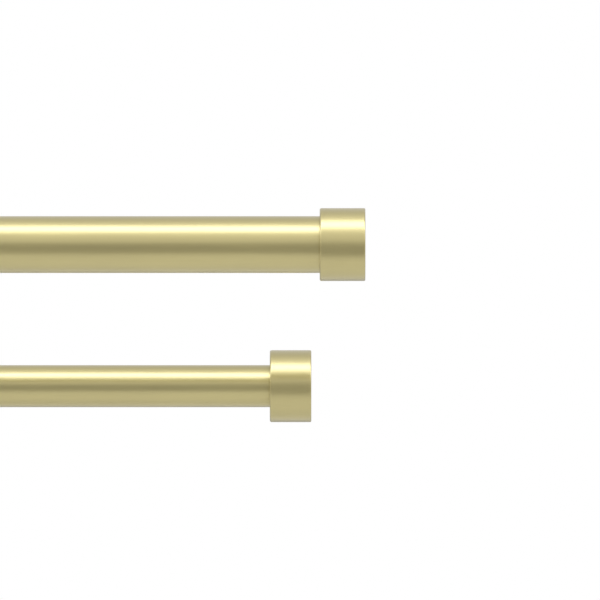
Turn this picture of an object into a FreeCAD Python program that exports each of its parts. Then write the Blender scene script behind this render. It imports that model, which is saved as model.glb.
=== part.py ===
"""Double curtain pole: two telescopic tubes with plain end caps on a pair of double wall brackets.

Frame, in millimetres: X runs along the poles, Z is up, the wall is the plane y = 0 and the room is
at -Y. The origin lies on the wall, in the middle of the four screw holes of the two wall plates.
"""
import FreeCAD
import Part
import Sketcher
import math
import os

# Each row is the name of a driving size, its value and what it measures.
DIMENSIONS = (
    ("front_tube_od", "25.4", "outside of the front pole, the thicker one"),
    ("back_tube_od", "19.05", "outside of the back pole"),
    ("tube_wall", "0.9", "wall of every tube"),
    ("slide_gap", "0.7", "radial room between a pole and the tube that slides in it"),
    ("slide_fit", "0.08", "radial clearance where a sliding tube is guided"),
    ("mouth_lip", "2.5", "length of the lip rolled inwards at a pole's mouth"),
    ("mouth_land", "0.3", "flat left on the nose of the rolled mouth"),
    ("guide_collar", "8", "length of the guide that runs in the pole"),
    ("guide_spigot", "14", "length of the guide held in the sliding tube"),
    ("guide_wall", "2", "wall of the guide's spigot"),
    ("guide_chamfer", "0.8", "chamfer on the guide's leading edge"),
    ("pole_length", "1000", "front pole over its caps at rest"),
    ("back_setback", "24", "how far each end of the back pole stops short of the front one"),
    ("slide_exposed", "86.1", "sliding tube in view between the mouth and the left cap at rest"),
    ("slide_margin", "40", "from the guide to the right cap's floor when the pole is closed"),
    ("cap_wall", "3.4", "wall of the front cap round its tube"),
    ("front_cap_length", "20.3", "length of the front caps"),
    ("back_cap_length", "18.7", "length of the back caps"),
    ("cap_floor", "3.5", "thickness of a cap's end"),
    ("cap_fit", "0.15", "radial clearance of a cap on its tube"),
    ("cap_edge_round", "0.6", "rounding of a cap's outer end"),
    ("cap_rim_round", "0.8", "rounding of a cap's outer rim"),
    ("cap_lead_in", "0.4", "chamfer at the mouth of a cap's bore"),
    ("end_gap", "0.3", "from the end of a tube to its cap's floor"),
    ("sleeve_fit", "0.05", "radial clearance of a sleeve, inside and outside"),
    ("sleeve_recess", "1", "how far a sleeve sits back from the cap's rim"),
    ("sleeve_slit_room", "0.3", "room at each side of the screw in a sleeve's slit"),
    ("grub_diameter", "4", "thread of the grub screws"),
    ("grub_socket", "2", "hexagon socket of the grub screws, across flats"),
    ("grub_socket_depth", "1.5", "depth of the hexagon socket"),
    ("grub_sink", "0.3", "how far a grub screw sits below the surface"),
    ("thread_fit", "0.05", "radial clearance of a screw in its hole"),
    ("screw_rest", "0.05", "from the tip of a screw to what it presses on"),
    ("screw_chamfer", "0.5", "chamfer at the tips of the screws"),
    ("thumb_diameter", "9", "head of the thumb screws"),
    ("thumb_length", "5", "length of the thumb screws' heads"),
    ("thumb_gap", "0.5", "from a thumb screw's head to the cradle"),
    ("thumb_flute", "0.45", "depth of the flutes round a thumb screw's head"),
    ("bracket_spacing", "600", "from one bracket to the other"),
    ("plate_diameter", "56", "round wall plate"),
    ("plate_thickness", "4", "thickness of the wall plate"),
    ("plate_round", "1.5", "rounding of the wall plate's front edge"),
    ("boss_diameter", "20", "boss that holds the arm"),
    ("boss_length", "16", "depth of the socket in the boss"),
    ("boss_root_round", "2", "rounding where the boss meets the plate"),
    ("boss_chamfer", "0.8", "chamfer at the mouth of the boss"),
    ("wall_hole", "4.5", "screw holes in the wall plate"),
    ("wall_countersink", "9", "countersinks of the screw holes"),
    ("arm_diameter", "12", "round bar of the bracket arm"),
    ("arm_fit", "0.1", "radial clearance of the arm in its socket"),
    ("front_reach", "168", "from the wall to the front pole's axis"),
    ("back_reach", "62", "from the wall to the back pole's axis"),
    ("pole_drop", "63.6", "how far the back pole's axis lies below the front one's"),
    ("bend_radius", "10.1", "upturn of the arm below the front pole"),
    ("cradle_wall", "3.5", "thickness of the cup and the hook"),
    ("cup_width", "16", "width of the cup along the front pole"),
    ("hook_inset", "0.5", "how much narrower the hook is than the arm, at each side"),
    ("seat_fit", "0.15", "radial clearance of a pole in its cradle"),
    ("cradle_front_lip", "2.5", "height of a cradle's room side above the pole's axis"),
    ("cup_rear_lip", "7", "height of the cup's wall side above the pole's axis"),
    ("lip_land", "0.25", "half of the flat left on top of a cradle's lips"),
    ("cradle_edge_round", "0.8", "rounding along the cradles' sides"),
    ("cast_round", "1.2", "rounding where the bar runs into the cup and the hook"),
)

FLUTE_COUNT = 16
OVERRUN = 1
NEAR = 1e-4
X_AXIS = FreeCAD.Vector(1, 0, 0)
Y_AXIS = FreeCAD.Vector(0, 1, 0)
Z_AXIS = FreeCAD.Vector(0, 0, 1)
AS_DRAWN = FreeCAD.Rotation()
TURNED_LEFT = FreeCAD.Rotation(Y_AXIS, 180)
TURNED_DOWN = FreeCAD.Rotation(X_AXIS, -90)


class Measure:
    """A size that follows the sheet: its value now and the expression that keeps it true."""

    def __init__(self, value, text):
        self.value = value
        self.text = text

    def __add__(self, other):
        other = as_measure(other)
        return Measure(self.value + other.value, f"({self.text} + {other.text})")

    def __sub__(self, other):
        other = as_measure(other)
        return Measure(self.value - other.value, f"({self.text} - {other.text})")

    def __mul__(self, factor):
        return Measure(self.value * factor, f"({self.text} * {factor})")

    def __truediv__(self, divisor):
        return Measure(self.value / divisor, f"({self.text} / {divisor})")

    def __neg__(self):
        return Measure(-self.value, f"(0 - {self.text})")


class Dimensions:
    """The driving sizes, each one a measure under its own name."""

    def __init__(self, doc):
        sheet = doc.addObject("Spreadsheet::Sheet", "Sizes")
        for row, (name, value, meaning) in enumerate(DIMENSIONS, 1):
            sheet.set(f"A{row}", meaning)
            sheet.set(f"B{row}", value)
            sheet.setAlias(f"B{row}", name)
        doc.recompute()
        for name, _, _ in DIMENSIONS:
            setattr(self, name, Measure(float(sheet.get(name)), f"Sizes.{name}"))


class Pole:
    """The sizes and the place of one telescopic pole, worked out from the driving sizes."""

    def __init__(self, size, name, tube_od, cap_length, reach, height, end):
        self.name = name
        self.reach = reach
        self.height = height
        self.end = end
        self.cap_length = cap_length
        self.tube_r = tube_od / 2
        self.bore_r = self.tube_r - size.tube_wall
        self.slide_r = self.bore_r - size.slide_gap
        self.cap_bore_r = self.tube_r + size.cap_fit
        self.cap_bore_depth = cap_length - size.cap_floor
        self.screw_inset = self.cap_bore_depth / 2
        self.tube_end = end - size.cap_floor - size.end_gap
        self.mouth = cap_length + size.slide_exposed - end
        closing_travel = size.slide_exposed - size.end_gap
        self.slide_tip = end - size.cap_floor - size.slide_margin - closing_travel
        self.cradle_r = self.tube_r + size.seat_fit


def as_measure(size):
    """Return a plain number as a measure, and a measure as it is."""
    return size if isinstance(size, Measure) else Measure(float(size), str(size))


def bind(thing, name, size):
    """Make a property of an object follow a measure."""
    thing.setExpression(name, as_measure(size).text)


def place(thing, x, y, z, rotation=AS_DRAWN):
    """Give a sub-part its turn, and a place that follows the measures."""
    thing.Placement = FreeCAD.Placement(FreeCAD.Vector(), rotation)
    bind(thing, "Placement.Base.x", x)
    bind(thing, "Placement.Base.y", y)
    bind(thing, "Placement.Base.z", z)


def new_body(doc, label):
    """Start a sub-part under its own name."""
    body = doc.addObject("PartDesign::Body", label)
    body.Label = label
    return body


def new_sketch(body, name, role, lift=0):
    """Start a sketch on one of the body's own planes, raised along the plane's normal."""
    sketch = body.newObject("Sketcher::SketchObject", f"{body.Name}_{name}")
    plane = next(feature for feature in body.Origin.OriginFeatures if feature.Role == role)
    sketch.AttachmentSupport = (plane, [""])
    sketch.MapMode = "FlatFace"
    bind(sketch, "AttachmentOffset.Base.z", lift)
    return sketch


def pin(sketch, geometry, point, corner):
    """Hold one point of a sketch at its measures across and up from the origin."""
    for kind, size in zip(("DistanceX", "DistanceY"), corner):
        if size is not None:
            value = as_measure(size).value
            number = sketch.addConstraint(Sketcher.Constraint(kind, -1, 1, geometry, point, value))
            bind(sketch, f"Constraints[{number}]", size)


def flat_point(corner):
    """Return a corner as a vector in the sketch's own plane."""
    return FreeCAD.Vector(as_measure(corner[0]).value, as_measure(corner[1]).value, 0)


def add_arc(sketch, start, stop, centre, leftwards):
    """Draw an arc between two corners and return its number with its first and last points."""
    middle = flat_point(centre)
    first, last = (start, stop) if leftwards else (stop, start)
    spokes = [flat_point(corner) - middle for corner in (first, last)]
    angles = [math.atan2(spoke.y, spoke.x) for spoke in spokes]
    if angles[1] < angles[0]:
        angles[1] += 2 * math.pi
    circle = Part.Circle(middle, Z_AXIS, spokes[0].Length)
    geometry = sketch.addGeometry(Part.ArcOfCircle(circle, *angles))
    chord = flat_point(stop) - flat_point(start)
    lies_flat = abs(chord.x) >= abs(chord.y)
    pin(sketch, geometry, 3, (None, centre[1]) if lies_flat else (centre[0], None))
    return (geometry, 1, 2) if leftwards else (geometry, 2, 1)


def draw(sketch, corners, arcs=None, closed=True):
    """Draw a line through the corners, and pin every corner to its measures.

    arcs gives the stretches that are arcs: by the stretch's number, the centre and whether the arc
    turns leftwards on its way from one corner to the next.
    """
    arcs = arcs or {}
    following = corners[1:] + corners[:1] if closed else corners[1:]
    strokes = []
    for number, (start, stop) in enumerate(zip(corners, following)):
        if number in arcs:
            strokes.append(add_arc(sketch, start, stop, *arcs[number]))
        else:
            segment = Part.LineSegment(flat_point(start), flat_point(stop))
            strokes.append((sketch.addGeometry(segment), 1, 2))
    joins = list(zip(strokes, strokes[1:]))
    if closed:
        joins.append((strokes[-1], strokes[0]))
    for (geometry, _, last), (next_geometry, next_first, _) in joins:
        sketch.addConstraint(Sketcher.Constraint("Coincident", geometry, last, next_geometry, next_first))
    for (geometry, first, _), corner in zip(strokes, corners):
        pin(sketch, geometry, first, corner)
    if not closed:
        geometry, _, last = strokes[-1]
        pin(sketch, geometry, last, corners[-1])
    return sketch


def draw_circles(sketch, centres, radius):
    """Draw circles of one radius about their centres."""
    for centre in centres:
        circle = Part.Circle(flat_point(centre), Z_AXIS, radius.value)
        geometry = sketch.addGeometry(circle)
        number = sketch.addConstraint(Sketcher.Constraint("Radius", geometry, radius.value))
        bind(sketch, f"Constraints[{number}]", radius)
        pin(sketch, geometry, 3, centre)
    return sketch


def turn(body, corners, axis):
    """Turn an outline on the XY plane about the sketch's H_Axis (X) or V_Axis (Y)."""
    sketch = draw(new_sketch(body, "section", "XY_Plane"), corners)
    revolution = body.newObject("PartDesign::Revolution", f"{body.Name}_turned")
    revolution.Profile = sketch
    revolution.ReferenceAxis = (sketch, [axis])
    revolution.Angle = 360
    body.Document.recompute()
    return revolution


def pad(body, sketch, width):
    """Thicken an outline evenly to both sides of its plane."""
    feature = body.newObject("PartDesign::Pad", f"{sketch.Name}_pad")
    feature.Profile = sketch
    feature.SideType = "Symmetric"
    bind(feature, "Length", width)
    body.Document.recompute()
    return feature


def cut(body, sketch, depth):
    """Cut an outline into the body, against the normal of its plane."""
    volume = body.Shape.Volume
    feature = body.newObject("PartDesign::Pocket", f"{sketch.Name}_cut")
    feature.Profile = sketch
    bind(feature, "Length", depth)
    body.Document.recompute()
    if not body.Shape.Volume < volume - NEAR:
        raise RuntimeError(f"{feature.Label} cuts nothing")
    return feature


def ring(body, axis, along, radius):
    """Name the circular edges of one radius that lie at one place along an axis."""
    names = []
    for number, edge in enumerate(body.Shape.Edges, 1):
        if not isinstance(edge.Curve, Part.Circle):
            continue
        off_radius = abs(edge.Curve.Radius - as_measure(radius).value)
        off_place = abs(edge.Curve.Center.dot(axis) - as_measure(along).value)
        if max(off_radius, off_place) < NEAR:
            names.append(f"Edge{number}")
    return names


def soften(body, kind, edges, size):
    """Fillet or chamfer some edges of a body."""
    if not edges:
        raise RuntimeError(f"{body.Label} has no such edge to soften")
    base = body.Tip
    feature = body.newObject(f"PartDesign::{kind}", f"{body.Name}_{kind.lower()}")
    feature.Base = (base, edges)
    bind(feature, "Radius" if kind == "Fillet" else "Size", size)
    body.Document.recompute()
    return feature


def make_outer_tube(doc, size, pole):
    """The pole itself, with its left mouth rolled in to guide the sliding tube."""
    body = new_body(doc, f"{pole.name}_outer_tube")
    lip_r = pole.slide_r + size.slide_fit
    lip_step = size.mouth_lip + pole.bore_r - lip_r
    length = pole.tube_end - pole.mouth
    turn(body, [
        (0, lip_r),
        (size.mouth_lip, lip_r),
        (lip_step, pole.bore_r),
        (length, pole.bore_r),
        (length, pole.tube_r),
        (0, pole.tube_r),
    ], "H_Axis")
    nose = pole.tube_r - lip_r - size.mouth_land
    soften(body, "Fillet", ring(body, X_AXIS, 0, pole.tube_r), nose)
    place(body, pole.mouth, -pole.reach, pole.height)
    return body


def make_inner_tube(doc, size, pole):
    """The thinner tube that slides in the pole and carries the left cap."""
    body = new_body(doc, f"{pole.name}_inner_tube")
    inner_r = pole.slide_r - size.tube_wall
    length = pole.slide_tip + pole.tube_end
    turn(body, [
        (0, inner_r),
        (length, inner_r),
        (length, pole.slide_r),
        (0, pole.slide_r),
    ], "H_Axis")
    place(body, -pole.tube_end, -pole.reach, pole.height)
    return body


def make_slide_guide(doc, size, pole):
    """The nylon guide: a spigot in the sliding tube and a collar that runs in the pole."""
    body = new_body(doc, f"{pole.name}_slide_guide")
    spigot_r = pole.slide_r - size.tube_wall - size.slide_fit
    collar_r = pole.bore_r - size.slide_fit
    turn(body, [
        (-size.guide_spigot, spigot_r - size.guide_wall),
        (size.guide_collar, spigot_r - size.guide_wall),
        (size.guide_collar, collar_r),
        (0, collar_r),
        (0, spigot_r),
        (-size.guide_spigot, spigot_r),
    ], "H_Axis")
    edges = ring(body, X_AXIS, size.guide_collar, collar_r)
    edges += ring(body, X_AXIS, -size.guide_spigot, spigot_r)
    soften(body, "Chamfer", edges, size.guide_chamfer)
    place(body, pole.slide_tip, -pole.reach, pole.height)
    return body


def make_cap(doc, size, pole, cap_r, side):
    """A plain cylindrical end cap, bored for the pole, with a screw hole on the wall side."""
    body = new_body(doc, f"{pole.name}_cap_{side}")
    turn(body, [
        (0, pole.cap_bore_r),
        (pole.cap_bore_depth, pole.cap_bore_r),
        (pole.cap_bore_depth, 0),
        (pole.cap_length, 0),
        (pole.cap_length, cap_r),
        (0, cap_r),
    ], "H_Axis")
    soften(body, "Fillet", ring(body, X_AXIS, pole.cap_length, cap_r), size.cap_edge_round)
    soften(body, "Fillet", ring(body, X_AXIS, 0, cap_r), size.cap_rim_round)
    soften(body, "Chamfer", ring(body, X_AXIS, 0, pole.cap_bore_r), size.cap_lead_in)
    hole = new_sketch(body, "screw_hole", "XZ_Plane")
    draw_circles(hole, [(pole.screw_inset, 0)], size.grub_diameter / 2)
    cut(body, hole, cap_r + OVERRUN)
    if side == "right":
        place(body, pole.end - pole.cap_length, -pole.reach, pole.height)
    else:
        place(body, pole.cap_length - pole.end, -pole.reach, pole.height, TURNED_LEFT)
    return body


def make_cap_sleeve(doc, size, pole):
    """The split sleeve that fits the left cap to the thinner tube; the screw passes its slit."""
    body = new_body(doc, f"{pole.name}_cap_sleeve")
    inner_r = pole.slide_r + size.sleeve_fit
    outer_r = pole.cap_bore_r - size.sleeve_fit
    floor = pole.cap_bore_depth - size.end_gap
    turn(body, [
        (size.sleeve_recess, inner_r),
        (floor, inner_r),
        (floor, outer_r),
        (size.sleeve_recess, outer_r),
    ], "H_Axis")
    half_slit = size.grub_diameter / 2 + size.sleeve_slit_room
    slit = new_sketch(body, "slit", "XZ_Plane")
    draw(slit, [
        (0, -half_slit),
        (pole.cap_bore_depth, -half_slit),
        (pole.cap_bore_depth, half_slit),
        (0, half_slit),
    ])
    cut(body, slit, outer_r + OVERRUN)
    place(body, pole.cap_length - pole.end, -pole.reach, pole.height, TURNED_LEFT)
    return body


def make_grub_screw(doc, size, label, length):
    """A grub screw along Y, with its tip at the origin and a hexagon socket at its other end."""
    body = new_body(doc, label)
    screw_r = size.grub_diameter / 2 - size.thread_fit
    turn(body, [
        (0, 0),
        (screw_r - size.screw_chamfer, 0),
        (screw_r, size.screw_chamfer),
        (screw_r, length),
        (0, length),
    ], "V_Axis")
    half_flat = size.grub_socket / 2
    corner_r = size.grub_socket / math.sqrt(3)
    socket = new_sketch(body, "socket", "XZ_Plane", size.grub_socket_depth - length)
    draw(socket, [
        (corner_r, 0),
        (corner_r / 2, half_flat),
        (-corner_r / 2, half_flat),
        (-corner_r, 0),
        (-corner_r / 2, -half_flat),
        (corner_r / 2, -half_flat),
    ])
    cut(body, socket, length)
    return body


def make_cap_screw(doc, size, pole, cap_r, side):
    """The grub screw of one cap, driven from the wall side against the tube in the cap."""
    held_r = pole.tube_r if side == "right" else pole.slide_r
    tip = held_r + size.screw_rest
    body = make_grub_screw(doc, size, f"{pole.name}_cap_screw_{side}", cap_r - size.grub_sink - tip)
    x = pole.end - pole.cap_length + pole.screw_inset
    place(body, x if side == "right" else -x, tip - pole.reach, pole.height)
    return body


def make_wall_plate(doc, size, side, x):
    """A round wall plate with a socket boss for the arm and two countersunk screw holes."""
    body = new_body(doc, f"wall_plate_{side}")
    plate_r = size.plate_diameter / 2
    boss_r = size.boss_diameter / 2
    bore_r = size.arm_diameter / 2 + size.arm_fit
    front = -size.plate_thickness
    mouth = front - size.boss_length
    turn(body, [
        (0, 0),
        (plate_r, 0),
        (plate_r, front),
        (boss_r, front),
        (boss_r, mouth),
        (bore_r, mouth),
        (bore_r, front),
        (0, front),
    ], "V_Axis")
    soften(body, "Fillet", ring(body, Y_AXIS, front, plate_r), size.plate_round)
    soften(body, "Fillet", ring(body, Y_AXIS, front, boss_r), size.boss_root_round)
    soften(body, "Chamfer", ring(body, Y_AXIS, mouth, boss_r), size.boss_chamfer)
    lock_hole = new_sketch(body, "lock_hole", "XY_Plane")
    draw_circles(lock_hole, [(0, front - size.boss_length / 2)], size.grub_diameter / 2)
    cut(body, lock_hole, boss_r + OVERRUN)
    add_wall_holes(body, size)
    place(body, x, 0, 0)
    return body


def add_wall_holes(body, size):
    """Drill the two screw holes half-way between the boss and the plate's edge."""
    hole_offset = (size.plate_diameter + size.boss_diameter) / 4
    sketch = new_sketch(body, "wall_holes", "XZ_Plane", size.plate_thickness)
    draw_circles(sketch, [(0, hole_offset), (0, -hole_offset)], size.wall_hole / 2)
    volume = body.Shape.Volume
    body.Document.recompute()
    holes = body.newObject("PartDesign::Hole", f"{body.Name}_screw_holes")
    holes.Profile = sketch
    holes.DepthType = "ThroughAll"
    holes.HoleCutType = "Countersink"
    holes.HoleCutCountersinkAngle = 90
    bind(holes, "Diameter", size.wall_hole)
    bind(holes, "HoleCutDiameter", size.wall_countersink)
    body.Document.recompute()
    if not body.Shape.Volume < volume - NEAR:
        raise RuntimeError(f"{holes.Label} cut nothing")


def make_lock_screw(doc, size, side, x):
    """The grub screw that holds an arm in its wall plate, driven from below."""
    tip = size.arm_diameter / 2 + size.screw_rest
    length = size.boss_diameter / 2 - size.grub_sink - tip
    body = make_grub_screw(doc, size, f"arm_lock_screw_{side}", length)
    y = -size.plate_thickness - size.boss_length / 2
    place(body, x, y, -tip, TURNED_DOWN)
    return body


def make_cradle(doc, size, pole, label, rear_top, width):
    """An open cradle round the underside of a pole, with a screw hole through its wall side."""
    body = new_body(doc, label)
    inner_r = pole.cradle_r
    outer_r = inner_r + size.cradle_wall
    front_top = pole.height + size.cradle_front_lip
    centre = (-pole.reach, pole.height)
    section = new_sketch(body, "section", "YZ_Plane")
    draw(section, [
        (-pole.reach - outer_r, front_top),
        (-pole.reach - outer_r, pole.height),
        (-pole.reach + outer_r, pole.height),
        (-pole.reach + outer_r, rear_top),
        (-pole.reach + inner_r, rear_top),
        (-pole.reach + inner_r, pole.height),
        (-pole.reach - inner_r, pole.height),
        (-pole.reach - inner_r, front_top),
    ], {1: (centre, True), 5: (centre, False)})
    pad(body, section, width)
    lips = straight_edges(body, X_AXIS, "z", (front_top, rear_top))
    soften(body, "Fillet", lips, size.cradle_wall / 2 - size.lip_land)
    sides = [f"Face{number}" for number, face in enumerate(body.Shape.Faces, 1)
             if abs(abs(face.CenterOfMass.x) - width.value / 2) < NEAR]
    soften(body, "Fillet", sides, size.cradle_edge_round)
    hole = new_sketch(body, "screw_hole", "XZ_Plane", pole.reach)
    draw_circles(hole, [(0, pole.height)], size.grub_diameter / 2)
    cut(body, hole, outer_r + OVERRUN)
    return body


def straight_edges(body, direction, coordinate, places):
    """Name the straight edges along a direction that lie at one of the places."""
    names = []
    values = [as_measure(place_along).value for place_along in places]
    for number, edge in enumerate(body.Shape.Edges, 1):
        if not isinstance(edge.Curve, Part.Line):
            continue
        along = abs(edge.Curve.Direction.dot(direction)) > 1 - NEAR
        at = getattr(edge.CenterOfMass, coordinate)
        if along and min(abs(at - value) for value in values) < NEAR:
            names.append(f"Edge{number}")
    return names


def make_arm_bar(doc, size, front, label):
    """The arm's round bar: straight out of the socket, then bent up into the front cup."""
    body = new_body(doc, label)
    root = size.plate_thickness + size.end_gap
    bend_start = size.bend_radius - front.reach
    path = new_sketch(body, "path", "YZ_Plane")
    corners = [(-root, 0), (bend_start, 0), (-front.reach, size.bend_radius)]
    draw(path, corners, {1: ((bend_start, size.bend_radius), False)}, closed=False)
    section = new_sketch(body, "section", "XZ_Plane", root)
    draw_circles(section, [(0, 0)], size.arm_diameter / 2)
    bar = body.newObject("PartDesign::AdditivePipe", f"{body.Name}_swept")
    bar.Profile = section
    bar.Spine = (path, ["Edge1", "Edge2"])
    doc.recompute()
    return body


def make_bracket_arm(doc, size, front, back, side, x):
    """The cast arm: bar, cup for the front pole and hook for the back pole in one piece."""
    label = f"bracket_arm_{side}"
    bar = make_arm_bar(doc, size, front, f"{label}_bar")
    cup_top = front.height + size.cup_rear_lip
    cup = make_cradle(doc, size, front, f"{label}_cup", cup_top, size.cup_width)
    hook_width = size.arm_diameter - size.hook_inset * 2
    hook = make_cradle(doc, size, back, f"{label}_hook", as_measure(0), hook_width)
    joined = doc.addObject("Part::MultiFuse", f"{label}_joined")
    joined.Shapes = [bar, cup, hook]
    joined.Refine = True
    doc.recompute()
    arm = new_body(doc, label)
    arm.BaseFeature = joined
    doc.recompute()
    soften(arm, "Fillet", seams(arm, bar, (cup, hook)), size.cast_round)
    place(arm, x, 0, 0)
    return arm


def seams(body, bar, cradles):
    """Name the edges along which the bar runs into the cradles."""
    names = []
    for number, edge in enumerate(body.Shape.Edges, 1):
        middle = Part.Vertex(edge.valueAt((edge.FirstParameter + edge.LastParameter) / 2))
        on_bar = bar.Shape.Shells[0].distToShape(middle)[0] < NEAR
        if on_bar and min(cradle.Shape.Shells[0].distToShape(middle)[0] for cradle in cradles) < NEAR:
            names.append(f"Edge{number}")
    return names


def make_clamp_screw(doc, size, pole, side, x):
    """A thumb screw through the cradle's wall side against the pole, with a fluted head."""
    body = new_body(doc, f"{pole.name}_clamp_screw_{side}")
    screw_r = size.grub_diameter / 2 - size.thread_fit
    head_r = size.thumb_diameter / 2
    shank = size.seat_fit - size.screw_rest + size.cradle_wall + size.thumb_gap
    top = shank + size.thumb_length
    chamfer = size.screw_chamfer
    turn(body, [
        (0, 0),
        (screw_r - chamfer, 0),
        (screw_r, chamfer),
        (screw_r, shank),
        (head_r - chamfer, shank),
        (head_r, shank + chamfer),
        (head_r, top - chamfer),
        (head_r - chamfer, top),
        (0, top),
    ], "V_Axis")
    flute = new_sketch(body, "flute", "XZ_Plane", -shank)
    draw(flute, [
        (head_r + size.thumb_flute, -size.thumb_flute * 2),
        (head_r + size.thumb_flute, size.thumb_flute * 2),
        (head_r - size.thumb_flute, 0),
    ])
    groove = cut(body, flute, size.thumb_length)
    flutes = body.newObject("PartDesign::PolarPattern", f"{body.Name}_flutes")
    flutes.Originals = [groove]
    flutes.Axis = (flute, ["N_Axis"])
    flutes.Angle = 360
    flutes.Occurrences = FLUTE_COUNT
    body.Tip = flutes
    place(body, x, pole.tube_r + size.screw_rest - pole.reach, pole.height)
    return body


def make_pole(doc, size, pole, cap_r):
    """All the pieces of one pole."""
    pieces = [
        make_outer_tube(doc, size, pole),
        make_inner_tube(doc, size, pole),
        make_slide_guide(doc, size, pole),
        make_cap_sleeve(doc, size, pole),
    ]
    for side in ("left", "right"):
        pieces.append(make_cap(doc, size, pole, cap_r, side))
        pieces.append(make_cap_screw(doc, size, pole, cap_r, side))
    return pieces


def make_bracket(doc, size, front, back, side, x):
    """All the pieces of one wall bracket."""
    return [
        make_wall_plate(doc, size, side, x),
        make_bracket_arm(doc, size, front, back, side, x),
        make_lock_screw(doc, size, side, x),
        make_clamp_screw(doc, size, front, side, x),
        make_clamp_screw(doc, size, back, side, x),
    ]


def check(doc, pieces):
    """Stop if any feature failed or any sub-part isn't one sound solid."""
    for thing in doc.Objects:
        if {"Invalid", "Error"} & set(thing.State):
            raise RuntimeError(f"{thing.Label} failed: {thing.State}")
    for piece in pieces:
        shape = piece.Shape
        if shape.isNull() or not shape.isValid() or len(shape.Solids) != 1:
            raise RuntimeError(f"{piece.Label} is not one sound solid")


def main():
    """Build every sub-part, check it and write it to its own file."""
    doc = FreeCAD.newDocument("DoubleCurtainPole")
    size = Dimensions(doc)
    cup_seat = size.bend_radius + size.cradle_wall / 2
    front_height = cup_seat + size.seat_fit + size.front_tube_od / 2
    front_end = size.pole_length / 2
    front = Pole(size, "front", size.front_tube_od, size.front_cap_length,
                 size.front_reach, front_height, front_end)
    back = Pole(size, "back", size.back_tube_od, size.back_cap_length,
                size.back_reach, front_height - size.pole_drop, front_end - size.back_setback)
    cap_r = front.cap_bore_r + size.cap_wall
    pieces = make_pole(doc, size, front, cap_r) + make_pole(doc, size, back, cap_r)
    half_spacing = size.bracket_spacing / 2
    for side, x in (("left", -half_spacing), ("right", half_spacing)):
        pieces += make_bracket(doc, size, front, back, side, x)
    doc.recompute()
    check(doc, pieces)
    os.makedirs("parts", exist_ok=True)
    for piece in pieces:
        piece.Shape.exportStep(f"parts/{piece.Label}.step")
        box = piece.Shape.BoundBox
        print(f"{piece.Label}: x {box.XMin:.2f}..{box.XMax:.2f}, y {box.YMin:.2f}..{box.YMax:.2f}, "
              f"z {box.ZMin:.2f}..{box.ZMax:.2f}, volume {piece.Shape.Volume:.1f}")


main()
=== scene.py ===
"""Looks of the double curtain pole: its finishes, its turned tubes and caps, and a plain soft studio.

Places and sizes are in metres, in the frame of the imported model: X runs along the poles, the wall is
the plane y = 0, the room is at -Y and Z is up.
"""
import logging
import math
from dataclasses import dataclass, field
from enum import Enum

import bmesh
import bpy
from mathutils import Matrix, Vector


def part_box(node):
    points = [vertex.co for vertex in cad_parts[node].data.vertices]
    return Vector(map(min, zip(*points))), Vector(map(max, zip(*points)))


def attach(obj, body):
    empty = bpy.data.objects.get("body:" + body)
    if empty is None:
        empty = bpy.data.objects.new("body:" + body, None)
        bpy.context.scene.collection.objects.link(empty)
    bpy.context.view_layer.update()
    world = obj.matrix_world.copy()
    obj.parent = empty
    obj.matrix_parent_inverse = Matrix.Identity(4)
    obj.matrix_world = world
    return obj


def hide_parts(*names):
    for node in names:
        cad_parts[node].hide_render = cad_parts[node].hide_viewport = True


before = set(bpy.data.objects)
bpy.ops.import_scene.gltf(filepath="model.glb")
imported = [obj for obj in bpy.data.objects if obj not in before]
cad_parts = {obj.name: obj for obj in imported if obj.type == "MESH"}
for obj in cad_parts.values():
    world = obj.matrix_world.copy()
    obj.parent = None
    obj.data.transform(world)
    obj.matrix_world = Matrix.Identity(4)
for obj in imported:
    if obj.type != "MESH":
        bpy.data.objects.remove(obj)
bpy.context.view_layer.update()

LOG = logging.getLogger("double_curtain_pole")
MM = 0.001
NEAR = 0.02 * MM
SAME_POINT = 0.001 * MM
RING_VERTICES = 160
DRILL_VERTICES = 48
DRILL_OVERRUN = 1 * MM
SMOOTH_ANGLE = math.radians(35)
LAMP_AIM = Vector((0, -0.1, 0))
LAMP_DISTANCE = 1.3

FIXED_BODY = "bracketed_poles"

Triple = tuple[float, float, float]
Colour = tuple[float, float, float, float]

EVEN: Triple = (1, 1, 1)
WHITE: Colour = (1, 1, 1, 1)
BLACK: Colour = (0, 0, 0, 1)

# Noise seldom leaves this range, so what follows a pattern is spread over it.
PATTERN_LOW = 0.25
PATTERN_HIGH = 0.75
SOFT_OCTAVES = 2
ROUGH_OCTAVES = 3


class Grain(Enum):
    """How the fine lines of a satin finish run."""

    LENGTHWISE = "lengthwise"
    TURNED = "turned"
    CAST = "cast"


class Side(Enum):
    """The two ends of a pole, and the two brackets, as the nodes spell them."""

    LEFT = "left"
    RIGHT = "right"


def shade(colour: Colour, factor: float) -> Colour:
    """Darken or lighten a colour by a factor."""
    return (colour[0] * factor, colour[1] * factor, colour[2] * factor, 1)


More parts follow.
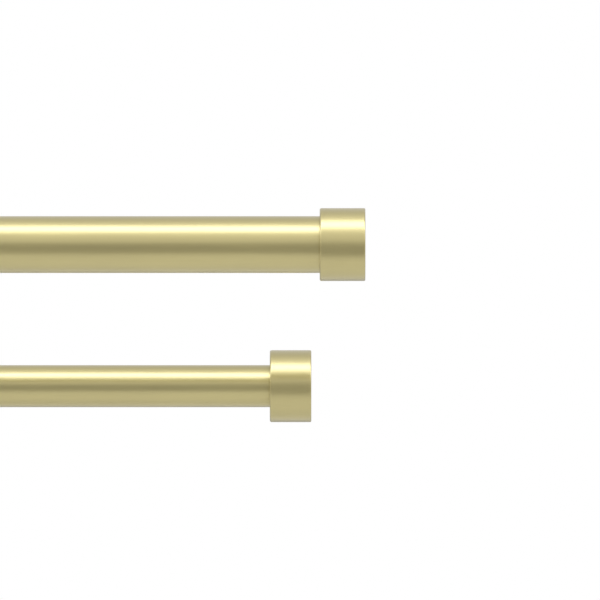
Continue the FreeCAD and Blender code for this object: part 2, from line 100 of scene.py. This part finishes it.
class Shader:
    """A material's node tree, built round one principled shader."""

    def __init__(self, name: str) -> None:
        """Start the material.

        Args:
            name: the material's name.
        """
        self.material = bpy.data.materials.new(name)
        self.material.use_nodes = True
        self.tree = self.material.node_tree
        self.surface = self.tree.nodes["Principled BSDF"]
        self.place = self.add("ShaderNodeTexCoord").outputs["Object"]

    def add(self, kind: str) -> bpy.types.Node:
        """Add a node of a kind and return it."""
        return self.tree.nodes.new(kind)

    def link(self, source: bpy.types.NodeSocket, target: bpy.types.NodeSocket) -> None:
        """Join an output to an input."""
        self.tree.links.new(source, target)

    def settle(self, values: dict[str, float | Colour]) -> None:
        """Set what is the same all over the surface on the shader's own sockets.

        Args:
            values: the sockets' names and what they are set to.
        """
        for name, value in values.items():
            self.surface.inputs[name].default_value = value

    def mapped(self, shift: Vector, stretch: Triple = EVEN) -> bpy.types.NodeSocket:
        """Give the surface's place, measured from a point and stretched along the axes.

        Args:
            shift: the point that becomes the pattern's origin.
            stretch: how dense the pattern is along X, Y and Z.

        Returns:
            The vector output.
        """
        mapping = self.add("ShaderNodeMapping")
        mapping.inputs["Location"].default_value = [-c * s for c, s in zip(shift, stretch)]
        mapping.inputs["Scale"].default_value = stretch
        self.link(self.place, mapping.inputs["Vector"])
        return mapping.outputs["Vector"]

    def turned(self, axis: Vector) -> bpy.types.NodeSocket:
        """Give the place along an axis parallel to X and the distance from it.

        Args:
            axis: a point on the axis.

        Returns:
            The vector output, with the place in x and the distance in y.
        """
        parts = self.add("ShaderNodeSeparateXYZ")
        self.link(self.mapped(axis), parts.inputs[0])
        across = self.add("ShaderNodeCombineXYZ")
        self.link(parts.outputs["Y"], across.inputs["Y"])
        self.link(parts.outputs["Z"], across.inputs["Z"])
        radius = self.add("ShaderNodeVectorMath")
        radius.operation = "LENGTH"
        self.link(across.outputs[0], radius.inputs[0])
        joined = self.add("ShaderNodeCombineXYZ")
        self.link(parts.outputs["X"], joined.inputs["X"])
        self.link(radius.outputs["Value"], joined.inputs["Y"])
        return joined.outputs[0]

    def noise(
        self, place: bpy.types.NodeSocket, density: float, octaves: float = SOFT_OCTAVES
    ) -> bpy.types.NodeSocket:
        """Give a noise pattern.

        Args:
            place: the vector that the pattern follows.
            density: features to the metre.
            octaves: layers of finer noise.

        Returns:
            The pattern's value, from 0 to 1.
        """
        texture = self.add("ShaderNodeTexNoise")
        texture.inputs["Scale"].default_value = density
        texture.inputs["Detail"].default_value = octaves
        self.link(place, texture.inputs["Vector"])
        return texture.outputs["Fac"]

    def roughen(self, pattern: bpy.types.NodeSocket, middle: float, spread: float) -> None:
        """Let the roughness follow a pattern.

        Args:
            pattern: the pattern's value.
            middle: the roughness halfway between the pattern's lows and highs.
            spread: how far the roughness goes to either side.
        """
        span = self.add("ShaderNodeMapRange")
        span.inputs["From Min"].default_value = PATTERN_LOW
        span.inputs["From Max"].default_value = PATTERN_HIGH
        span.inputs["To Min"].default_value = middle - spread
        span.inputs["To Max"].default_value = middle + spread
        self.link(pattern, span.inputs["Value"])
        self.link(span.outputs["Result"], self.surface.inputs["Roughness"])

    def tint(
        self, pattern: bpy.types.NodeSocket, colour: Colour, shades: tuple[float, float]
    ) -> None:
        """Let the base colour follow a pattern.

        Args:
            pattern: the pattern's value.
            colour: the colour that is shaded.
            shades: the factors where the pattern is low and where it is high.
        """
        ramp = self.add("ShaderNodeValToRGB")
        low, high = ramp.color_ramp.elements
        low.position = PATTERN_LOW
        low.color = shade(colour, shades[0])
        high.position = PATTERN_HIGH
        high.color = shade(colour, shades[1])
        self.link(pattern, ramp.inputs["Fac"])
        self.link(ramp.outputs["Color"], self.surface.inputs["Base Color"])

    def raise_by(self, pattern: bpy.types.NodeSocket, height: float) -> None:
        """Let a pattern stand up from the surface.

        Args:
            pattern: the pattern's value.
            height: from its lows to its highs, in metres.
        """
        bump = self.add("ShaderNodeBump")
        bump.inputs["Strength"].default_value = 1
        bump.inputs["Distance"].default_value = height
        self.link(pattern, bump.inputs["Height"])
        self.link(bump.outputs["Normal"], self.surface.inputs["Normal"])


@dataclass(frozen=True)
class SatinBrass:
    """Pale satin brass plating under a clear lacquer."""

    colour: Colour = (0.475, 0.400, 0.130, 1)
    cloud_shades: tuple[float, float] = (0.975, 1.025)
    cloud_density: float = 60
    cloud_stretch: Triple = (0.4, 1, 1)
    roughness: float = 0.35
    roughness_spread: float = 0.06
    lacquer_roughness: float = 0.31
    lacquer_ior: float = 2.0
    line_height: float = 0.005 * MM
    line_density: float = 2600
    line_stretch: Triple = (0.015, 1, 1)
    cast_density: float = 1800

    def lines(self, shader: Shader, grain: Grain, axis: Vector) -> bpy.types.NodeSocket:
        """Give the pattern of the satin lines.

        Args:
            shader: the material's shader.
            grain: how the lines run on the piece.
            axis: a point on the piece's own axis, which turned lines go round.

        Returns:
            The pattern's value.
        """
        if grain is Grain.LENGTHWISE:
            return shader.noise(shader.mapped(axis, self.line_stretch), self.line_density)
        if grain is Grain.TURNED:
            return shader.noise(shader.turned(axis), self.line_density)
        return shader.noise(shader.mapped(axis), self.cast_density, ROUGH_OCTAVES)

    def material(self, name: str, grain: Grain, axis: Vector) -> bpy.types.Material:
        """Make the finish for the pieces that share an axis and a grain.

        Args:
            name: the material's name.
            grain: how the satin lines run on the pieces.
            axis: a point on the pieces' axis.

        Returns:
            The material.
        """
        shader = Shader(name)
        shader.settle({
            "Metallic": 1,
            "Coat Weight": 1,
            "Coat Roughness": self.lacquer_roughness,
            "Coat IOR": self.lacquer_ior,
        })
        lines = self.lines(shader, grain, axis)
        shader.roughen(lines, self.roughness, self.roughness_spread)
        shader.raise_by(lines, self.line_height)
        cloud = shader.noise(shader.mapped(axis, self.cloud_stretch), self.cloud_density)
        shader.tint(cloud, self.colour, self.cloud_shades)
        return shader.material


@dataclass(frozen=True)
class FineSkin:
    """A finish with a fine skin that looks the same from all sides."""

    name: str
    metallic: float
    colour: Colour
    cloud_shades: tuple[float, float]
    cloud_density: float
    roughness: float
    roughness_spread: float
    skin_height: float
    skin_density: float

    def material(self) -> bpy.types.Material:
        """Make the finish.

        Returns:
            The material.
        """
        shader = Shader(self.name)
        shader.settle({"Metallic": self.metallic})
        skin = shader.noise(shader.place, self.skin_density, ROUGH_OCTAVES)
        shader.roughen(skin, self.roughness, self.roughness_spread)
        shader.raise_by(skin, self.skin_height)
        cloud = shader.noise(shader.place, self.cloud_density)
        shader.tint(cloud, self.colour, self.cloud_shades)
        return shader.material


@dataclass(frozen=True)
class MouldedNylon(FineSkin):
    """Natural nylon of the guides and sleeves, as it comes from the mould."""

    name: str = "natural_nylon"
    metallic: float = 0
    colour: Colour = (0.76, 0.74, 0.67, 1)
    cloud_shades: tuple[float, float] = (0.93, 1)
    cloud_density: float = 160
    roughness: float = 0.42
    roughness_spread: float = 0.06
    skin_height: float = 0.01 * MM
    skin_density: float = 1400


@dataclass(frozen=True)
class BlackenedSteel(FineSkin):
    """Oil-blackened steel of the grub screws."""

    name: str = "blackened_steel"
    metallic: float = 1
    colour: Colour = (0.075, 0.074, 0.072, 1)
    cloud_shades: tuple[float, float] = (0.75, 1.25)
    cloud_density: float = 500
    roughness: float = 0.38
    roughness_spread: float = 0.08
    skin_height: float = 0.004 * MM
    skin_density: float = 2200


def pick(piece: bpy.types.Object) -> None:
    """Select one piece alone and make it the active one.

    Args:
        piece: the piece that the next operators act on.
    """
    bpy.ops.object.select_all(action="DESELECT")
    piece.select_set(True)
    bpy.context.view_layer.objects.active = piece


def even_light(piece: bpy.types.Object) -> None:
    """Shade a piece smooth across its roundings and flat across its flats.

    Args:
        piece: the finished mesh.
    """
    pick(piece)
    bpy.ops.object.shade_smooth_by_angle(angle=SMOOTH_ANGLE)
    bpy.ops.object.modifier_add(type="WEIGHTED_NORMAL")
    piece.modifiers[-1].keep_sharp = True
    bpy.ops.object.modifier_apply(modifier=piece.modifiers[-1].name)


class Lathe:
    """Models a turned piece as a ring that is drawn from station to station along X."""

    def __init__(self, name: str, axis: Vector, x: float, radius: float) -> None:
        """Draw the first ring, and stay in edit mode with the ring selected.

        Args:
            name: the piece's name.
            axis: a point on the axis, which runs parallel to X.
            x: the ring's place along the axis.
            radius: its radius.
        """
        self.axis = axis
        self.station = (x, radius)
        bpy.ops.object.select_all(action="DESELECT")
        bpy.ops.mesh.primitive_circle_add(
            vertices=RING_VERTICES, radius=radius, fill_type="NOTHING",
            location=(x, axis.y, axis.z), rotation=(0, math.pi / 2, 0))
        self.piece = bpy.context.object
        self.piece.name = self.piece.data.name = name
        bpy.ops.object.transform_apply(location=True, rotation=True, scale=True)
        bpy.ops.object.mode_set(mode="EDIT")
        bpy.ops.mesh.select_all(action="SELECT")

    def draw_to(self, x: float, radius: float) -> None:
        """Extrude the ring to its next station.

        Args:
            x: the station's place along the axis.
            radius: the ring's radius there.
        """
        last_x, last_radius = self.station
        bpy.ops.mesh.extrude_edges_move(TRANSFORM_OT_translate={"value": (x - last_x, 0, 0)})
        grow = radius / last_radius
        bpy.ops.transform.resize(
            value=(1, grow, grow), center_override=(x, self.axis.y, self.axis.z))
        self.station = (x, radius)

    def weld(self) -> None:
        """Join the last ring to the first where they meet, and turn all faces outwards."""
        bpy.ops.mesh.select_all(action="SELECT")
        bpy.ops.mesh.remove_doubles(threshold=NEAR)
        bpy.ops.mesh.normals_make_consistent(inside=False)

    def select_ring(self, x: float, radius: float) -> None:
        """Select the edges of one ring.

        Args:
            x: the ring's place along the axis.
            radius: its radius.
        """
        bpy.ops.mesh.select_all(action="DESELECT")
        bpy.ops.mesh.select_mode(type="EDGE")
        shape = bmesh.from_edit_mesh(self.piece.data)
        for edge in shape.edges:
            edge.select_set(all(self.on_ring(v.co, x, radius) for v in edge.verts))
        bmesh.update_edit_mesh(self.piece.data)

    def on_ring(self, point: Vector, x: float, radius: float) -> bool:
        """Tell whether a point lies on a ring."""
        from_axis = math.hypot(point.y - self.axis.y, point.z - self.axis.z)
        return abs(point.x - x) < NEAR and abs(from_axis - radius) < NEAR

    def close(self, x: float, radius: float, margin: float) -> None:
        """Close an open ring with a flat face that keeps a narrow margin round it.

        Args:
            x: the ring's place along the axis.
            radius: its radius.
            margin: width of the margin, which keeps the face flat in the light.
        """
        self.select_ring(x, radius)
        bpy.ops.mesh.edge_face_add()
        bpy.ops.mesh.inset(thickness=margin)

    def round_ring(self, x: float, radius: float, by: float, steps: int) -> None:
        """Round or chamfer the corner along a ring.

        Args:
            x: the ring's place along the axis.
            radius: its radius.
            by: the rounding's radius, or the chamfer's width where there is one step.
            steps: facets across the rounding.
        """
        self.select_ring(x, radius)
        bpy.ops.mesh.bevel(
            offset=by, offset_type="OFFSET", segments=steps, profile=0.5, affect="EDGES")

    def finish(self) -> bpy.types.Object:
        """Leave edit mode with the faces turned outwards and shaded smooth.

        Returns:
            The piece.
        """
        bpy.ops.mesh.select_all(action="SELECT")
        bpy.ops.mesh.normals_make_consistent(inside=False)
        bpy.ops.object.mode_set(mode="OBJECT")
        even_light(self.piece)
        return self.piece


def drill(piece: bpy.types.Object, start: Vector, depth: float, radius: float) -> None:
    """Drill a round hole into a piece, away from the wall, and merge points that nearly meet there.

    Args:
        piece: the piece.
        start: the middle of the hole, outside the piece.
        depth: how far the drill goes towards -Y.
        radius: the hole's radius.
    """
    bpy.ops.object.select_all(action="DESELECT")
    bpy.ops.mesh.primitive_cylinder_add(
        vertices=DRILL_VERTICES, radius=radius, depth=depth,
        location=start - Vector((0, depth / 2, 0)), rotation=(math.pi / 2, 0, 0))
    drill_bit = bpy.context.object
    bpy.ops.object.transform_apply(location=True, rotation=True, scale=True)
    pick(piece)
    bpy.ops.object.modifier_add(type="BOOLEAN")
    hole = piece.modifiers[-1]
    hole.operation = "DIFFERENCE"
    hole.solver = "EXACT"
    hole.object = drill_bit
    bpy.ops.object.modifier_apply(modifier=hole.name)
    bpy.data.objects.remove(drill_bit)
    bpy.ops.object.mode_set(mode="EDIT")
    bpy.ops.mesh.select_all(action="SELECT")
    bpy.ops.mesh.remove_doubles(threshold=SAME_POINT)
    bpy.ops.object.mode_set(mode="OBJECT")
    even_light(piece)


def dress(piece: bpy.types.Object, material: bpy.types.Material) -> None:
    """Give every material slot of a piece one finish, and report the piece.

    Args:
        piece: a new piece or a CAD node.
        material: the finish.
    """
    if not piece.material_slots:
        piece.data.materials.append(material)
    for slot in piece.material_slots:
        slot.material = material
    LOG.info("%s: %s, %d faces", piece.name, material.name, len(piece.data.polygons))


def stand_in(piece: bpy.types.Object, node: str, body: str) -> None:
    """Let a new brass piece stand for a CAD node.

    Args:
        piece: the new piece.
        node: the node that it replaces.
        body: the body that it moves with.
    """
    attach(piece, body)
    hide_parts(node)


@dataclass
class TelescopicPole:
    """One pole: a tube with a rolled mouth, a tube that slides in it, and a cap at each end."""

    name: str
    brass: SatinBrass
    nylon: bpy.types.Material
    steel: bpy.types.Material
    tube_wall: float = 0.9 * MM
    slide_fit: float = 0.08 * MM
    mouth_lip: float = 2.5 * MM
    mouth_land: float = 0.3 * MM
    mouth_steps: int = 10
    cap_floor: float = 3.5 * MM
    cap_fit: float = 0.15 * MM
    cap_end_round: float = 0.6 * MM
    cap_rim_round: float = 0.8 * MM
    cap_lead_in: float = 0.4 * MM
    cap_steps: int = 8
    screw_hole_radius: float = 2 * MM
    axis: Vector = field(init=False)
    tube_radius: float = field(init=False)
    mouth: float = field(init=False)
    tube_end: float = field(init=False)
    slide_radius: float = field(init=False)
    slide_start: float = field(init=False)
    slide_tip: float = field(init=False)
    slider: str = field(init=False)

    def __post_init__(self) -> None:
        """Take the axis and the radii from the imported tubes."""
        low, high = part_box(f"{self.name}_outer_tube")
        self.axis = Vector((0, (low.y + high.y) / 2, (low.z + high.z) / 2))
        self.tube_radius = (high.z - low.z) / 2
        self.mouth, self.tube_end = low.x, high.x
        low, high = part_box(f"{self.name}_inner_tube")
        self.slide_radius = (high.z - low.z) / 2
        self.slide_start, self.slide_tip = low.x, high.x
        self.slider = f"{self.name}_slider"

    def make_pole_tube(self) -> bpy.types.Object:
        """Model the outer tube with its mouth rolled in round the sliding tube.

        Returns:
            The tube.
        """
        bore = self.tube_radius - self.tube_wall
        lip = self.slide_radius + self.slide_fit
        lip_end = self.mouth + self.mouth_lip
        nose = self.tube_radius - lip - self.mouth_land
        lathe = Lathe(f"{self.name}_pole_tube", self.axis, self.tube_end, bore)
        lathe.draw_to(lip_end + bore - lip, bore)
        lathe.draw_to(lip_end, lip)
        lathe.draw_to(self.mouth, lip)
        lathe.draw_to(self.mouth, self.tube_radius)
        lathe.draw_to(self.tube_end, self.tube_radius)
        lathe.draw_to(self.tube_end, bore)
        lathe.weld()
        lathe.round_ring(self.mouth, self.tube_radius, nose, self.mouth_steps)
        return lathe.finish()

    def make_slide_tube(self) -> bpy.types.Object:
        """Model the thinner tube that slides in the pole.

        Returns:
            The tube.
        """
        bore = self.slide_radius - self.tube_wall
        lathe = Lathe(f"{self.name}_slide_tube", self.axis, self.slide_start, bore)
        lathe.draw_to(self.slide_start, self.slide_radius)
        lathe.draw_to(self.slide_tip, self.slide_radius)
        lathe.draw_to(self.slide_tip, bore)
        lathe.draw_to(self.slide_start, bore)
        lathe.weld()
        return lathe.finish()

    def make_right_cap(self) -> bpy.types.Object:
        """Model the right end cap: a plain cylinder, bored for the pole, with a screw hole behind.

        Returns:
            The cap.
        """
        low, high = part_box(f"{self.name}_cap_right")
        radius = (high.z - low.z) / 2
        end, rim = high.x, low.x
        floor = end - self.cap_floor
        bore = self.tube_radius + self.cap_fit
        lathe = Lathe(f"{self.name}_end_cap_right", self.axis, floor, bore)
        lathe.draw_to(rim, bore)
        lathe.draw_to(rim, radius)
        lathe.draw_to(end, radius)
        lathe.close(end, radius, margin=2 * self.cap_end_round)
        lathe.close(floor, bore, margin=self.cap_end_round)
        lathe.round_ring(end, radius, self.cap_end_round, self.cap_steps)
        lathe.round_ring(rim, radius, self.cap_rim_round, self.cap_steps)
        lathe.round_ring(rim, bore, self.cap_lead_in, steps=1)
        cap = lathe.finish()
        low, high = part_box(f"{self.name}_cap_screw_right")
        middle = (low + high) / 2
        outside = Vector((middle.x, self.axis.y + radius + DRILL_OVERRUN, middle.z))
        drill(cap, outside, radius - bore + 2 * DRILL_OVERRUN, self.screw_hole_radius)
        return cap

    def make_left_cap(self, right: bpy.types.Object) -> bpy.types.Object:
        """Copy the right cap and turn the copy round to the pole's left end.

        Args:
            right: the finished right cap.

        Returns:
            The left cap, with a mesh of its own.
        """
        left_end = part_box(f"{self.name}_cap_left")[0].x
        right_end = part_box(f"{self.name}_cap_right")[1].x
        middle = ((left_end + right_end) / 2, self.axis.y, self.axis.z)
        pick(right)
        bpy.ops.object.duplicate()
        left = bpy.context.object
        left.name = left.data.name = f"{self.name}_end_cap_left"
        bpy.ops.transform.rotate(value=math.pi, orient_axis="Y", center_override=middle)
        bpy.ops.object.transform_apply(location=True, rotation=True, scale=True)
        return left

    def build(self) -> None:
        """Model the tubes and the caps and set them on their bodies, and dress every piece."""
        drawn = self.brass.material(f"{self.name}_drawn_brass", Grain.LENGTHWISE, self.axis)
        turned = self.brass.material(f"{self.name}_turned_brass", Grain.TURNED, self.axis)
        tube = self.make_pole_tube()
        stand_in(tube, f"{self.name}_outer_tube", FIXED_BODY)
        dress(tube, drawn)
        slide = self.make_slide_tube()
        stand_in(slide, f"{self.name}_inner_tube", self.slider)
        dress(slide, drawn)
        right_cap = self.make_right_cap()
        left_cap = self.make_left_cap(right_cap)
        ends = ((Side.LEFT, left_cap, self.slider), (Side.RIGHT, right_cap, FIXED_BODY))
        for side, cap, body in ends:
            stand_in(cap, f"{self.name}_cap_{side.value}", body)
            dress(cap, turned)
            dress(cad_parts[f"{self.name}_cap_screw_{side.value}"], self.steel)
        for part in ("slide_guide", "cap_sleeve"):
            dress(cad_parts[f"{self.name}_{part}"], self.nylon)


@dataclass
class WallBracket:
    """One double bracket: wall plate, cast arm, its lock screw and the two thumb screws."""

    side: Side
    brass: SatinBrass
    steel: bpy.types.Material

    def build(self) -> None:
        """Dress the bracket's pieces."""
        side = self.side.value
        low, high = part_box(f"bracket_arm_{side}")
        middle = (low + high) / 2
        cast = self.brass.material(f"bracket_{side}_cast_brass", Grain.CAST, middle)
        for part in ("wall_plate", "bracket_arm", "front_clamp_screw", "back_clamp_screw"):
            dress(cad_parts[f"{part}_{side}"], cast)
        dress(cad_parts[f"arm_lock_screw_{side}"], self.steel)


def lift_where_seen(
    tree: bpy.types.NodeTree, socket: bpy.types.NodeSocket, on_matt: float, seen: float
) -> None:
    """Give a stage surface one level where the camera or gloss sees it and another on matt light.

    Args:
        tree: the node tree of the surface or the sky.
        socket: the strength that is set.
        on_matt: the level that lights matt surfaces.
        seen: the level that the camera, gloss and clear pieces see.
    """
    path = tree.nodes.new("ShaderNodeLightPath")
    reached = path.outputs["Is Camera Ray"]
    for kind in ("Is Glossy Ray", "Is Transmission Ray"):
        either = tree.nodes.new("ShaderNodeMath")
        either.operation = "MAXIMUM"
        tree.links.new(reached, either.inputs[0])
        tree.links.new(path.outputs[kind], either.inputs[1])
        reached = either.outputs[0]
    level = tree.nodes.new("ShaderNodeMapRange")
    level.inputs["To Min"].default_value = on_matt
    level.inputs["To Max"].default_value = seen
    tree.links.new(reached, level.inputs["Value"])
    tree.links.new(level.outputs["Result"], socket)


@dataclass
class Card:
    """A plain panel that shows only in the object's gloss.

    Its long edges run along X, and low and high are their places on Y and Z.
    """

    name: str
    low: tuple[float, float]
    high: tuple[float, float]
    level: float
    half_length: float = 4

    def build(self) -> None:
        """Stand the panel up between its long edges."""
        (low_y, low_z), (high_y, high_z) = self.low, self.high
        width = math.hypot(high_y - low_y, high_z - low_z)
        tilt = math.atan2(high_z - low_z, high_y - low_y)
        bpy.ops.object.select_all(action="DESELECT")
        bpy.ops.mesh.primitive_plane_add(
            size=1, location=(0, (low_y + high_y) / 2, (low_z + high_z) / 2),
            rotation=(tilt, 0, 0))
        panel = bpy.context.object
        panel.name = self.name
        panel.scale = (2 * self.half_length, width, 1)
        bpy.ops.object.transform_apply(location=True, rotation=True, scale=True)
        shader = Shader(self.name)
        shader.settle({
            "Base Color": BLACK,
            "Specular IOR Level": 0,
            "Emission Color": WHITE,
            "Emission Strength": self.level,
        })
        panel.data.materials.append(shader.material)
        panel.visible_camera = False
        panel.visible_diffuse = False
        panel.visible_transmission = False
        panel.visible_shadow = False


def hang(lamp: bpy.types.Light, angle: float) -> bpy.types.Object:
    """Hang a lamp on the room side, facing the poles.

    Args:
        lamp: the lamp.
        angle: its height above the horizon, in degrees.

    Returns:
        The object that holds the lamp.
    """
    holder = bpy.data.objects.new(lamp.name, lamp)
    bpy.context.scene.collection.objects.link(holder)
    turn = math.radians(angle)
    away = Vector((0, -math.cos(turn), math.sin(turn)))
    holder.location = LAMP_AIM + away * LAMP_DISTANCE
    holder.rotation_euler = (-away).to_track_quat("-Z", "Y").to_euler()
    return holder


@dataclass
class SoftBox:
    """A long soft lamp over the object, at an angle in degrees above the horizon."""

    name: str
    angle: float
    width: float
    radiance: float
    tint: Triple = (1, 1, 1)
    length: float = 6

    def build(self) -> None:
        """Make the lamp and hang it at its angle."""
        lamp = bpy.data.lights.new(self.name, "AREA")
        lamp.shape = "RECTANGLE"
        lamp.size = self.length
        lamp.size_y = self.width
        lamp.energy = self.radiance * math.pi * self.length * self.width
        lamp.color = self.tint
        hang(lamp, self.angle)


@dataclass
class ShadowLamp:
    """A far lamp that gives the floor its shadow and stays out of the gloss.

    Its angle above the horizon and its softness, which is how wide it looks, are in degrees.
    """

    name: str
    angle: float
    level: float
    softness: float

    def build(self) -> None:
        """Make the lamp and hang it at its angle."""
        lamp = bpy.data.lights.new(self.name, "SUN")
        lamp.energy = self.level * math.pi
        lamp.angle = math.radians(self.softness)
        hang(lamp, self.angle).visible_glossy = False


@dataclass
class Studio:
    """A white tent with a pale floor, long soft boxes and dim panels for the gloss.

    The camera's lens and sensor are in millimetres, as Blender counts them.
    """

    sky_on_matt: float = 0.6
    sky_seen: float = 1
    floor_level: float = -0.35
    floor_half: float = 5
    floor_colour: Colour = (0.603, 0.6, 0.585, 1)
    floor_shades: tuple[float, float] = (0.99, 1)
    floor_cloud_density: float = 2
    floor_roughness: float = 0.9
    floor_glow: float = 0.12
    camera_place: Triple = (0.4709, -8.168, 0)
    camera_lens: float = 1077.2
    camera_sensor: float = 36
    camera_reach: float = 100

    def make_sky(self) -> None:
        """Make a white surround that lights matt surfaces more gently than it shows in gloss."""
        scene = bpy.context.scene
        scene.view_settings.view_transform = "Standard"
        world = bpy.data.worlds.new("white_tent")
        scene.world = world
        world.use_nodes = True
        sky = world.node_tree.nodes["Background"]
        sky.inputs["Color"].default_value = WHITE
        strength = sky.inputs["Strength"]
        lift_where_seen(world.node_tree, strength, on_matt=self.sky_on_matt, seen=self.sky_seen)

    def make_floor(self) -> None:
        """Lay a plain pale floor below the object."""
        bpy.ops.object.select_all(action="DESELECT")
        bpy.ops.mesh.primitive_plane_add(
            size=2 * self.floor_half, location=(0, 0, self.floor_level))
        floor = bpy.context.object
        floor.name = "floor"
        bpy.ops.object.transform_apply(location=True, rotation=True, scale=True)
        shader = Shader("pale_floor")
        shader.settle({
            "Roughness": self.floor_roughness,
            "Specular IOR Level": 0,
            "Emission Color": WHITE,
        })
        cloud = shader.noise(shader.place, self.floor_cloud_density)
        shader.tint(cloud, self.floor_colour, self.floor_shades)
        glow = shader.surface.inputs["Emission Strength"]
        lift_where_seen(shader.tree, glow, on_matt=0, seen=self.floor_glow)
        floor.data.materials.append(shader.material)

    def make_lights(self) -> None:
        """Hang the lamps, and stand the panels that give the metal its dark bands."""
        SoftBox("key_box", angle=64.4, width=0.55, radiance=3, tint=(0.96, 1, 1.15)).build()
        SoftBox("fill_box", angle=50, width=0.4, radiance=0.17).build()
        ShadowLamp("shadow_lamp", angle=72, level=0.36, softness=7).build()
        Card("front_panel", low=(-0.65, -0.345), high=(-0.65, 0.082), level=0.475).build()
        Card("rear_panel", low=(1.2, 0.25), high=(0.5, 2.4), level=0.74).build()
        Card("rear_strip", low=(1.2, -0.2), high=(1.2, 0.25), level=0.4).build()
        Card("rear_floor_panel", low=(0.28, -0.33), high=(1.2, -0.33), level=0.5).build()

    def make_camera(self) -> None:
        """Set the camera square to the poles' right ends."""
        camera = bpy.data.cameras.new("camera")
        camera.sensor_width = self.camera_sensor
        camera.lens = self.camera_lens
        camera.clip_end = self.camera_reach
        holder = bpy.data.objects.new("camera", camera)
        holder.location = self.camera_place
        holder.rotation_euler = (math.pi / 2, 0, 0)
        bpy.context.scene.collection.objects.link(holder)
        bpy.context.scene.camera = holder

    def build(self) -> None:
        """Set up the surround, the floor, the lights and the camera."""
        self.make_sky()
        self.make_floor()
        self.make_lights()
        self.make_camera()


def main() -> None:
    """Build the poles, the brackets and the studio."""
    logging.basicConfig(level=logging.INFO, format="%(message)s")
    brass = SatinBrass()
    nylon = MouldedNylon().material()
    steel = BlackenedSteel().material()
    for name in ("front", "back"):
        TelescopicPole(name, brass, nylon, steel).build()
    for side in Side:
        WallBracket(side, brass, steel).build()
    Studio().build()


if __name__ == "__main__":
    main()
